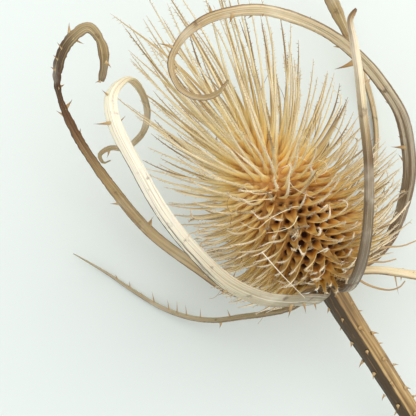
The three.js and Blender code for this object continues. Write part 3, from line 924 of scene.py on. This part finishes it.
def bristled_group():
    """Sweeps the scales and sets fine bristles along both edges of their awns."""
    group, tree, given, out = group_with_inputs("bristled scales", BRISTLE_INPUTS)
    curves = strand_curves(tree, given)
    body = swept(tree, curves, given)
    finer = tree.add("GeometryNodeResampleCurve", {"mode": "LENGTH"},
                     {"Curve": curves, "Length": given.named("Bristle spacing")})
    index = tree.add("GeometryNodeInputIndex")
    edge = tree.math("MODULO", index, 2.0) * 2.0 - 1.0
    spread = random_value(tree, -BRISTLE_SPREAD, BRISTLE_SPREAD, index, given.named("Seed"))
    aim = tree.vector("ADD", tree.scaled(direction(tree, "side"), edge),
                      tree.scaled(direction(tree, "face"), spread))
    aim = tree.vector("ADD", aim, tree.scaled(tree.add("GeometryNodeInputTangent"), BRISTLE_LEAN))
    points = stored(tree, finer, "aim", "FLOAT_VECTOR", aim)
    share = attribute(tree, "share")
    chance = random_value(tree, 0.0, 1.0, index, 8)
    chosen = both(tree, compared(tree, "GREATER_THAN", share, given.named("Bristle from")),
                  compared(tree, "LESS_THAN", share, BRISTLES_UNTIL))
    chosen = both(tree, chosen, compared(tree, "LESS_THAN", chance, BRISTLE_CHANCE))
    cone = tree.add("GeometryNodeMeshCone", {"fill_type": "NGON"},
                    {"Vertices": 3, "Side Segments": 1, "Fill Segments": 1, "Radius Top": 0.0,
                     "Radius Bottom": BRISTLE_RADIUS, "Depth": 1.0})
    turn = tree.add("FunctionNodeAlignRotationToVector", {"axis": "Z"},
                    {"Vector": direction(tree, "aim")})
    length = random_value(tree, 0.6, 1.25, index, 21) * given.named("Bristle length")
    bristles = planted(tree, points, cone, turn, tree.combined(1.0, 1.0, length), chosen)
    joining = tree.add("GeometryNodeJoinGeometry")
    for part in (body, bristles):
        tree.tree.links.new(part.socket, joining.socket.node.inputs[0])
    close_group(tree, given, out, joining)
    return group


scales = grown("scales", bristled_group(), strand_mesh("scales", scale_lines, scale_values()),
               {"Sides": 8, "Cup": -0.85, "Material": scale_material()})
print("the scales have", sum(len(p.vertices) - 2 for p in scales.data.polygons), "triangles")

# %% [markdown]
# A bract is a long stiff blade, grooved on one face, with fine veins along it and prickles on its
# edges and back. The sweep gives it the groove and the veins. Its own palette runs from root to tip,
# because the bracts have weathered differently, and each of them gets painted shade on one side.

# %% Finishes of the bracts and the stem
FINISHES = {
    # colours from root to tip; the pixel that the side with painted shade looks towards, the painted
    # shade's colour and strength, the shares it spans, and how squarely a spot must look there to start
    # and to finish the painted shade; the dark and the pale veins; the colour and strength of the edges
    "bract_front_left": {
        "palette": {0: "746a52", 0.08: "8c8168", 0.16: "a99e82", 0.26: "d9d0b4", 0.45: "faf4e2",
                    0.62: "fdf6de", 0.72: "e0d0a4", 0.8: "c0b08c", 1: "a8986f"},
        "shade": ((-100, 470), "3a3027", 0.95, 0.1, 0.62, 0.57, 0.75),
        "veins": ("9c8560", "fffbee"), "edge": ("d9cdb0", 0.0)},
    "bract_back_left": {
        "palette": {0: "c0ad86", 0.3: "cfbd96", 0.5: "b89e70", 0.62: "8a6640", 0.76: "5e3d25",
                    0.83: "8b7650", 0.9: "b5a27a", 0.95: "9c875c", 1: "6f5a38"},
        "shade": ((-600, 300), "42291a", 0.8, 0.2, 0.95, 0.2, 0.8),
        "veins": ("513720", "dccda4"), "edge": ("54391f", 0.45)},
    "bract_low_left": {
        "palette": {0: "8b7c5c", 0.3: "b3a37e", 0.6: "c9bfa0", 1: "cfc3a4"},
        "shade": ((150, 900), "6e5a3c", 0.8, 0.0, 0.9, 0.3, 0.8),
        "veins": ("8a7350", "f4ecd2"), "edge": ("d9cdb0", 0.0)},
    "bract_front_right": {
        "palette": {0: "6e6252", 0.15: "7c7060", 0.4: "8a7a62", 0.55: "7a6244", 0.62: "a58e66",
                    0.72: "dccdaa", 0.93: "e0d3b6", 0.97: "a5875c", 1: "6e4e2c"},
        "shade": ((900, 250), "554838", 0.9, 0.0, 0.62, 0.3, 0.75),
        "veins": ("7d6848", "f3ead2"), "edge": ("5e4d36", 0.5)},
    "bract_arching": {
        "palette": {0: "8f7a58", 0.16: "b0a48e", 0.32: "dad3c0", 0.5: "dccfae", 0.7: "dccba4",
                    0.8: "bfa77c", 0.92: "bda67c", 1: "a58c5e"},
        "shade": ((300, 150), "6a4e2f", 0.8, 0.0, 0.93, 0.6, 0.92),
        "veins": ("7d5f3a", "fff6de"), "edge": ("6b4d2c", 0.8)},
    "bract_side_right": {
        "palette": {0: "dccba6", 0.5: "e6d7b4", 1: "cdb98e"},
        "shade": ((400, 900), "937a50", 0.8, 0.0, 1.0, 0.3, 0.8),
        "veins": ("a08860", "fbf4e0"), "edge": ("8f774e", 0.3)},
    "bract_back_right": {
        "palette": {0: "b39c72", 0.5: "bda87f", 1: "a8905f"},
        "shade": ((0, 100), "7d6842", 0.7, 0.0, 1.0, 0.3, 0.8),
        "veins": ("8a7350", "fbf4e0"), "edge": ("7d6842", 0.3)},
    # painted shade down the stem's side away from the lamps
    "stem": {"shade": ((-500, 500), "3f311c", 0.95, 0.0, 1.0, -0.05, 0.25)},
}
SHADE_NEARNESS = 8


def read_points(mesh, key):
    """The places or normals of a mesh's points."""
    numbers = np.zeros(len(mesh.vertices) * 3)
    mesh.vertices.foreach_get(key, numbers)
    return numbers.reshape(-1, 3)


def mark_painted_shade(piece, finish):
    """Stores how squarely each point of a piece looks towards what its side with painted shade looks at."""
    target = laid(seen_at(finish["shade"][0], SHADE_NEARNESS))
    towards = unit(target - read_points(piece.data, "co"))
    write_attribute(piece.data, "shade", (towards * read_points(piece.data, "normal")).sum(axis=1))


def with_painted_shade(tree, base, veins, finish):
    """The base darkened by painted shade on the marked side, over part of the length, with an uneven
    border.
    """
    _, code, strength, start, end, first, last = finish["shade"]
    share = on_surface(tree, "share")
    squareness = on_surface(tree, "shade") + (veins - 0.5) * 0.5
    span = tree.smooth(share, start - 0.03, start + 0.03) * tree.smooth(share, end + 0.06, end - 0.06)
    return mixed(tree, tree.smooth(squareness, first, last) * span * strength, base, colour(code))


def bract_material(title, finish):
    material, tree = new_material(title)
    base = ramp(tree, on_surface(tree, "share"), finish["palette"])
    veins = grain(tree, 8.0, 60.0, 5.0)
    dark_vein, pale_vein = finish["veins"]
    base = tinted(tree, base, dark_vein, veins, 0.5, 0.66, 0.6)
    base = tinted(tree, base, pale_vein, veins, 0.44, 0.34, 0.5)
    ring = place_on_ring(tree)
    edge_colour, edge_strength = finish["edge"]
    base = tinted(tree, base, edge_colour, ring * ring + (veins - 0.5) * 0.5, 0.72, 0.92, edge_strength)
    # painted shade: the bract darkened on the side that its shade entry marks
    base = with_painted_shade(tree, base, veins, finish)
    base = tinted(tree, base, "5e4228", mottling(tree, 420.0, 6.0), 0.6, 0.75, 0.75)
    base = tinted(tree, base, "f4ecd8", mottling(tree, 130.0, 3.0), 0.52, 0.75, 0.4)
    finish_material(tree, {"Base Color": base, "Roughness": 0.55, "Normal": bump(tree, veins, 0.9, 0.0002),
                           "Subsurface Weight": 0.15, "Subsurface Scale": 0.001,
                           "Specular IOR Level": 0.35})
    return material


def stem_material():
    material, tree = new_material("dry stem")
    veins = grain(tree, 5.0, 70.0, 5.0)
    base = ramp(tree, veins, {0.25: "5c4528", 0.45: "94764a", 0.6: "b89a66", 0.8: "d2bb8c"})
    base = tinted(tree, base, "6d5434", mottling(tree, 180.0, 5.0), 0.5, 0.75, 0.7)
    # painted shade on the stem's side away from the lamps
    base = with_painted_shade(tree, base, veins, FINISHES["stem"])
    finish_material(tree, {"Base Color": base, "Roughness": 0.6, "Normal": bump(tree, veins, 0.8, 0.0003)})
    return material


# %% Prickles
THORN_INPUTS = {"Thorn width": ("Float", 0.00034), "Thorn bend": ("Float", 0.35),
                "Material": ("Material", None)}
THORN_WAIST = 0.45
LOWEST_LEVEL = 0.00001
THORN_COLOURS = {0: "c8b084", 0.5: "a8824c", 1: "5c3a1a"}


def thorn_group():
    """A curved thorn on each point, along its aim, as long as its size says."""
    group, tree, given, out = group_with_inputs("thorns", THORN_INPUTS)
    cone = tree.add("GeometryNodeMeshCone", {"fill_type": "NGON"},
                    {"Vertices": 8, "Side Segments": 6, "Radius Top": 0.02, "Radius Bottom": 1.0,
                     "Depth": 1.0})
    place = tree.split(tree.add("GeometryNodeInputPosition"))
    height = place.named("Z")
    slim = (1.0 - height) * (1 - THORN_WAIST) + THORN_WAIST
    bent = place * slim + height * height * given.named("Thorn bend") * 3.0
    bent = tree.combined(bent, place.named("Y") * slim, height)
    cone = tree.add("GeometryNodeSetPosition", None, {"Geometry": cone, "Position": bent})
    cone = stored(tree, cone, "height", "FLOAT", height)
    turn = tree.add("FunctionNodeAlignRotationToVector", {"axis": "Z"},
                    {"Vector": direction(tree, "aim")})
    turn = tree.add("FunctionNodeAlignRotationToVector", {"axis": "X", "pivot_axis": "Z"},
                    {"Rotation": turn, "Vector": direction(tree, "along")})
    width = attribute(tree, "fat") * given.named("Thorn width")
    size = tree.combined(width, width, attribute(tree, "size"))
    close_group(tree, given, out, planted(tree, given, cone, turn, size))
    return group


def thorn_material():
    material, tree = new_material("thorn")
    base = ramp(tree, on_surface(tree, "height"), THORN_COLOURS)
    finish_material(tree, {"Base Color": base, "Roughness": 0.45})
    return material


thorn_tree = thorn_group()
thorn_finish = thorn_material()


def joined(name, objects):
    """One object of several."""
    bpy.ops.object.select_all(action="DESELECT")
    for item in objects:
        item.select_set(True)
    bpy.context.view_layer.objects.active = objects[0]
    bpy.ops.object.join()
    objects[0].name = name
    objects[0].data.name = name
    return objects[0]


def flatten_on_table(piece):
    """Presses flat what would reach below the table."""
    places = read_points(piece.data, "co")
    places[:, 2] = np.maximum(places[:, 2], LOWEST_LEVEL)
    piece.data.vertices.foreach_set("co", places.astype(np.float32).ravel())
    piece.data.update()


def with_thorns(name, body, thorns):
    """A body joined to its thorns, each given by its foot, aim, run, length and stoutness."""
    feet, aims, alongs, sizes, fats = [np.array(column) for column in zip(*thorns)]
    mesh = bpy.data.meshes.new(name + "_thorns")
    mesh.from_pydata(laid(feet).tolist(), [], [])
    values = {"aim": aims, "along": alongs, "size": sizes * MM, "fat": fats}
    for attribute_name, data in values.items():
        write_attribute(mesh, attribute_name, data)
    prickles = grown(name + "_thorns", thorn_tree, mesh, {"Material": thorn_finish})
    whole = joined(name, [body, prickles])
    flatten_on_table(whole)
    return whole


print("thorn tree has", len(thorn_tree.nodes), "nodes")

# %% Where the thorns sit
THORN_SPACING = 6.0
FIRST_THORN = 7.0
LAST_THORN_SHARE = 0.96
HIDDEN_BELOW = -0.25
THORN_AIR = 0.5
SEEN_THORN_AIR = 0.3
NEAR_CAMERA = from_picture(0, 0, 1)

SEEN_THORNS = {
    # the pixel of a thorn's foot, the pixel of its tip, and how stout it is
    "bract_front_left": [
        (104, 127, 93.5, 126.5, 1.3), (116, 125, 127, 117, 1.0), (104, 95, 101, 91, 1.0),
        (175, 225, 177.5, 215.5, 1.3), (233, 279, 238, 272, 1.4), (146, 193, 147, 189, 1.2),
        (291, 306, 290, 318, 1.4), (303, 302, 307, 313, 1.2), (314, 298, 317, 310, 1.0)],
    "bract_back_left": [
        (57, 70, 50, 68, 1.0), (58, 59.5, 52.5, 56, 1.0), (61, 47, 56, 43, 1.0),
        (79, 43, 83, 46, 1.3), (91, 27, 99, 27.5, 0.9), (107, 62, 112.5, 66, 1.3),
        (61, 87, 65, 86.5, 1.6), (79, 136, 82.5, 129.5, 1.6), (100, 80, 95, 81, 1.0),
        (66, 62, 68, 58, 1.3), (71, 106, 74, 101, 1.6), (65, 107, 61, 104, 1.0),
        (112, 187, 107, 190, 0.9), (150, 223, 155, 217, 1.0)],
    "bract_low_left": [
        (118, 279, 116, 274, 0.5), (131, 287, 130, 281, 0.5), (143, 297, 141, 292, 0.45),
        (155, 301, 152.7, 291, 0.5), (170, 307, 168, 299, 0.5), (178, 310, 177.5, 300, 0.45),
        (187, 313, 186, 304, 0.45), (200, 316, 201, 308, 0.45), (230, 315, 228, 309, 0.6)],
    "bract_front_right": [(350, 37, 345.5, 36, 0.8), (366, 216, 371.5, 214, 0.8)],
    "bract_arching": [
        (354, 66, 336, 73, 2.6), (401, 147, 391, 149, 1.5), (400, 143, 397, 137, 1.0),
        (310, 21, 312, 17, 1.0), (212, 16, 211, 3, 1.5), (233, 12, 232, 24, 1.7),
        (167, 46, 158, 41, 1.2), (186, 34, 184, 30, 0.8), (262, 13, 263, 18, 0.8),
        (405, 190, 398, 193, 1.0), (176, 56, 178, 52, 1.0)],
    "bract_side_right": [
        (394, 277, 398, 296, 0.6), (402, 275, 400, 281, 0.8), (411, 277, 414, 271, 0.6)],
    "bract_back_right": [(361, 84, 356, 80, 0.8)],
}


def seen_thorns(name, course):
    """The thorns that the photograph shows on a bract."""
    pixels = seen_from_camera(course["points"])
    tangents = tangents_of(course["points"])
    found = []
    for foot_x, foot_y, tip_x, tip_y, stoutness in SEEN_THORNS[name]:
        k = int(np.linalg.norm(pixels[:, :2] - (foot_x, foot_y), axis=1).argmin())
        tip = seen_at((tip_x, tip_y), pixels[k, 2])
        aim = unit(tip - course["points"][k])
        foot = course["points"][k] + aim * min(course["wide"][k], course["thick"][k]) * 0.7
        if height_above_table(tip) > SEEN_THORN_AIR:
            found.append((foot, aim, tangents[k], float(np.linalg.norm(tip - foot)), stoutness))
    return found


def hidden_thorns(course, draw):
    """Thorns by turns on both edges and the back of a bract, where the camera doesn't see them."""
    points, side, wide = course["points"], course["side"], course["wide"]
    tangents = tangents_of(points)
    faces = np.cross(side, tangents)
    found = []
    position = FIRST_THORN
    turn = 0
    while position < course["length"] * LAST_THORN_SHARE:
        k = int(position * (len(points) - 1) / course["length"])
        edge = (1, -1, 0)[turn % 3]
        aim = unit(side[k] * edge - faces[k] * (0.35 if edge else 1.0) + tangents[k] * 0.25)
        foot = points[k] + side[k] * edge * wide[k] * 0.8 - faces[k] * (0.1 if edge else 0.45)
        size = draw.uniform(0.9, 1.9) * (0.7 + 0.3 * wide[k])
        pixel = seen_from_camera([foot])[0]
        in_view = 0 < pixel[0] < PICTURE_SIZE and 0 < pixel[1] < PICTURE_SIZE
        hidden = np.dot(laid_direction(aim), NEAR_CAMERA) < HIDDEN_BELOW or not in_view
        if hidden and height_above_table(foot + aim * size) > THORN_AIR:
            found.append((foot, aim, tangents[k], size, draw.uniform(0.9, 1.4)))
        position += draw.uniform(0.6, 1.4) * THORN_SPACING
        turn += 1
    return found


# %% Sweep the bracts
RAGGED_EDGES = {"bract_back_left": (0.17, 150)}
PLAIN_EDGES = (0.06, 95)
BLADE = {"Sides": 56, "Groove": 0.38, "Ribs": 19.0, "Rib height": 0.000016, "Roughness": 0.00022,
         "Roughness scale": 700.0}


def make_bract(name, course, draw):
    ragged, teeth = RAGGED_EDGES.get(name, PLAIN_EDGES)
    bumps = np.interp(course["share"], np.linspace(0, 1, teeth), draw.uniform(-1, 1, teeth))
    jitter = 1 + ragged * bumps * smoothstep(course["share"], 0.3, 0.75)
    values = {"share": [course["share"]], "run": [course["share"] * course["length"] * MM],
              "wide": [course["wide"] * jitter * MM], "thick": [course["thick"] * MM],
              "side": [course["side"]]}
    finish = FINISHES[name]
    title = name.replace("bract_", "").replace("_", " ") + " bract"
    blade = grown(name + "_blade", sweeping, strand_mesh(name, [course["points"]], values),
                  {**BLADE, "Material": bract_material(title, finish)})
    # marks where the bract gets its painted shade
    mark_painted_shade(blade, finish)
    thorns = seen_thorns(name, course) + hidden_thorns(course, draw)
    return with_thorns(name.replace("bract", "curled_bract"), blade, thorns)


draw = random_numbers(23)
bracts = {name: make_bract(name, course, draw) for name, course in courses.items()}
print("bracts have", sum(len(b.data.polygons) for b in bracts.values()), "faces")

# %% [markdown]
# The stem is round, with eight low ribs and short prickles. It was cut straight across.

# %% The stem
STEM_RADIUS = 2.3
STEM_ROUTE = [[0, 0, 0], [0.2, 0, -7], [0.7, 0, -16], [1.8, 0, -37], [3.4, 0, -60]]
STEM_POINTS = 120
STEM_TWIST = 0.35
STEM_THORNS = 60
THORN_SINK = 0.15
STEM_BODY = {"Sides": 96, "Ribs": 8.0, "Rib height": 0.0001, "Roughness": 0.0003,
             "Roughness scale": 260.0}


def make_stem(draw):
    points, length = curve_points(STEM_ROUTE, STEM_POINTS)
    share = np.linspace(0, 1, STEM_POINTS)
    sides = carried_sides(points, [1, 0, 0], STEM_TWIST)
    swelling = 0.98 - 0.14 * smoothstep(share, 0.0, 0.4) + 0.16 * smoothstep(share, 0.6, 0.95)
    radius = STEM_RADIUS * swelling * MM
    values = {"share": [share], "run": [share * length * MM], "wide": [radius], "thick": [radius],
              "side": [sides]}
    body = grown("stem_body", sweeping, strand_mesh("stem_body", [points], values),
                 {**STEM_BODY, "Material": stem_material()})
    # marks where the stem gets its painted shade
    mark_painted_shade(body, FINISHES["stem"])
    tangents = tangents_of(points)
    faces = np.cross(sides, tangents)
    thorns = []
    for n in range(STEM_THORNS):
        k = int(STEM_POINTS * (0.04 + 0.92 * (n + 0.5) / STEM_THORNS))
        angle = n * GOLDEN_ANGLE
        outward = sides[k] * math.cos(angle) + faces[k] * math.sin(angle)
        foot = points[k] + outward * (STEM_RADIUS - THORN_SINK)
        aim = unit(outward + tangents[k] * 0.3)
        size = draw.uniform(0.8, 1.7)
        if height_above_table(foot + aim * size) > SEEN_THORN_AIR:
            thorns.append((foot, aim, tangents[k], size, draw.uniform(0.8, 1.2)))
    return with_thorns("prickly_stem", body, thorns)


stem = make_stem(draw)
print("stem has", len(stem.data.polygons), "faces")

# %% [markdown]
# Frayed fibres cling to a dry head. Most curl among the awns. One long straight fibre lies across the
# front, where the photograph shows it, and a few stray awns and curls are placed by the photograph.

# %% Dry threads
THREAD_COUNT = 90
THREAD_POINTS = 14
THREAD_HALF_WIDTH = 0.055
THREAD_TAPER = 0.45
THREAD_AIR = 0.3
THREAD_HEIGHT = 0.5
FIBRE_COLOURS = {0: "6b4422", 0.3: "9c7440", 0.5: "e5d4a8", 1: "f6eed8"}

# pixels that a thread passes, with how many millimetres it is nearer than the head's base
LONG_FIBRE = [(262, 252, 22), (283, 276, 20), (305, 298, 15)]
STRAY_AWNS = [
    [(358, 279, 3), (366, 284, 3), (377, 288, 3), (390, 290, 4), (400, 287, 5), (405, 281, 6)],
    [(364, 256, -2), (376, 250, -2), (388, 247, -3), (402, 246, -4), (418, 240, -5)],
    [(362, 266, -1), (372, 262, -1), (384, 262, -2), (396, 259, -3)],
]
CURLS = [
    [(221, 133, 19), (227, 137, 20), (235, 131, 21), (244, 134, 20), (240, 141, 21), (229, 140, 21)],
    [(275, 172, 20), (280, 163, 22), (289, 158, 23), (299, 157, 24), (307, 161, 24)],
    [(272, 192, 21), (261, 194, 22), (250, 192, 23), (244, 186, 23), (248, 183, 24), (253, 188, 24)],
    [(272, 199, 21), (258, 200, 23), (245, 203, 24), (236, 209, 24), (237, 216, 24)],
    [(290, 209, 20), (280, 213, 22), (268, 220, 23), (256, 229, 24), (240, 222, 24)],
    [(298, 216, 20), (292, 226, 22), (280, 231, 23), (266, 233, 24)],
    [(299, 141, 20), (304, 137, 21), (309, 141, 21), (306, 147, 21), (301, 144, 21)],
    [(318, 160, 19), (326, 163, 20), (327, 170, 20), (320, 175, 20), (314, 170, 20)],
]


def placed_line(route):
    return curve_points([seen_at((x, y), near) for x, y, near in route], THREAD_POINTS)[0]


def thread_course(draw):
    """A curl that leaves an awn part of the way up."""
    line = scale_lines[draw.integers(0, SCALE_COUNT)]
    start = draw.integers(4, 10)
    heading = unit(line[start + 1] - line[start] + draw.normal(0, 0.25, 3))
    curl = draw.normal(0, 1, 3)
    rate = draw.uniform(0.1, 0.42)
    step = draw.uniform(0.25, 0.75)
    points = [line[start]]
    for _ in range(THREAD_POINTS - 1):
        heading = unit(heading + np.cross(unit(curl), heading) * rate)
        curl = curl + draw.normal(0, 0.25, 3)
        points.append(points[-1] + heading * step)
    return np.array(points)


def thread_material():
    material, tree = new_material("frayed fibre")
    base = ramp(tree, on_surface(tree, "tone"), FIBRE_COLOURS)
    finish_material(tree, {"Base Color": base, "Roughness": 0.6})
    return material


def make_threads(draw):
    """The placed threads, then loose ones, each group with its own stoutness and tone."""
    lines = [placed_line(route) for route in [LONG_FIBRE] + STRAY_AWNS + CURLS]
    loose = THREAD_COUNT - len(lines)
    while len(lines) < THREAD_COUNT:
        line = thread_course(draw)
        if air_round(line) > THREAD_AIR and height_above_table(line).min() > THREAD_HEIGHT:
            lines.append(line)
    stout = [1.6] + [4.5] * len(STRAY_AWNS) + [1.5] * len(CURLS) + [1.0] * loose
    tones = [1.0] + [0.36] * len(STRAY_AWNS) + [0.6] * len(CURLS) + list(draw.uniform(0.1, 1, loose))
    taper = np.linspace(1.0, THREAD_TAPER, THREAD_POINTS) * THREAD_HALF_WIDTH * MM
    widths = [taper * factor for factor in stout]
    values = {"wide": widths, "thick": widths,
              "tone": [np.full(THREAD_POINTS, tone) for tone in tones],
              "side": [carried_sides(line, [0.3, 0.2, 1], 0) for line in lines]}
    return grown("threads", sweeping, strand_mesh("threads", lines, values),
                 {"Sides": 5, "Material": thread_material()})


threads = make_threads(random_numbers(41))
print("threads have", len(threads.data.polygons), "faces")

# %% [markdown]
# The picture was taken before a plain pale backdrop. Here a wide pale table and a bright even sky
# stand for it, with two large soft lamps up on the right.

# %% Floor and light
FLOOR_HALF = 1.5
LAMP_AIM = [0, 0, 25]
SKY_COLOUR = (1.0, 0.99, 0.965, 1)
SKY_STRENGTH = 0.98


def make_floor():
    mesh = bpy.data.meshes.new("floor")
    corners = [(x * FLOOR_HALF, y * FLOOR_HALF, 0) for x, y in ((-1, -1), (1, -1), (1, 1), (-1, 1))]
    mesh.from_pydata(corners, [], [(0, 1, 2, 3)])
    material, tree = new_material("pale floor")
    finish_material(tree, {"Base Color": colour("dfe8e7"), "Roughness": 0.9})
    mesh.materials.append(material)
    return shown("floor", mesh)


floor = make_floor()


def area_light(name, direction, distance, size, power, tint):
    """A round lamp in a direction of the picture's axes, aimed at the head."""
    data = bpy.data.lights.new(name, "AREA")
    data.shape = "DISK"
    data.size = size
    data.energy = power
    data.color = tint
    towards = Vector(from_picture(*direction)).normalized()
    place = Matrix.Translation(Vector(laid(LAMP_AIM)) + towards * distance)
    shown(name, data).matrix_world = place @ towards.to_track_quat("Z", "Y").to_matrix().to_4x4()


area_light("key", (0.4, 0.5, 0.8), 0.8, 1.0, 2.5, (1.0, 0.98, 0.95))
area_light("glow", (0.75, 0.65, 0.15), 0.7, 0.7, 1.7, (1.0, 0.96, 0.88))
world = bpy.data.worlds.new("studio")
bpy.context.scene.world = world
world.use_nodes = True
world.node_tree.nodes["Background"].inputs["Color"].default_value = SKY_COLOUR
world.node_tree.nodes["Background"].inputs["Strength"].default_value = SKY_STRENGTH
bpy.context.scene.view_settings.view_transform = "Standard"
print("the scene has", len(bpy.data.lights), "lamps")

# %% [markdown]
# Nothing on the head moves, so every piece rides on the root. Each hides the imported node that it
# stands for.

# %% Place the pieces on the frame
for piece in (receptacle, scales, threads):
    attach(piece, "root")
    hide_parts("seed_head")

for node, piece in bracts.items():
    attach(piece, "root")
    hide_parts(node)
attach(stem, "root")
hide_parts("stem")
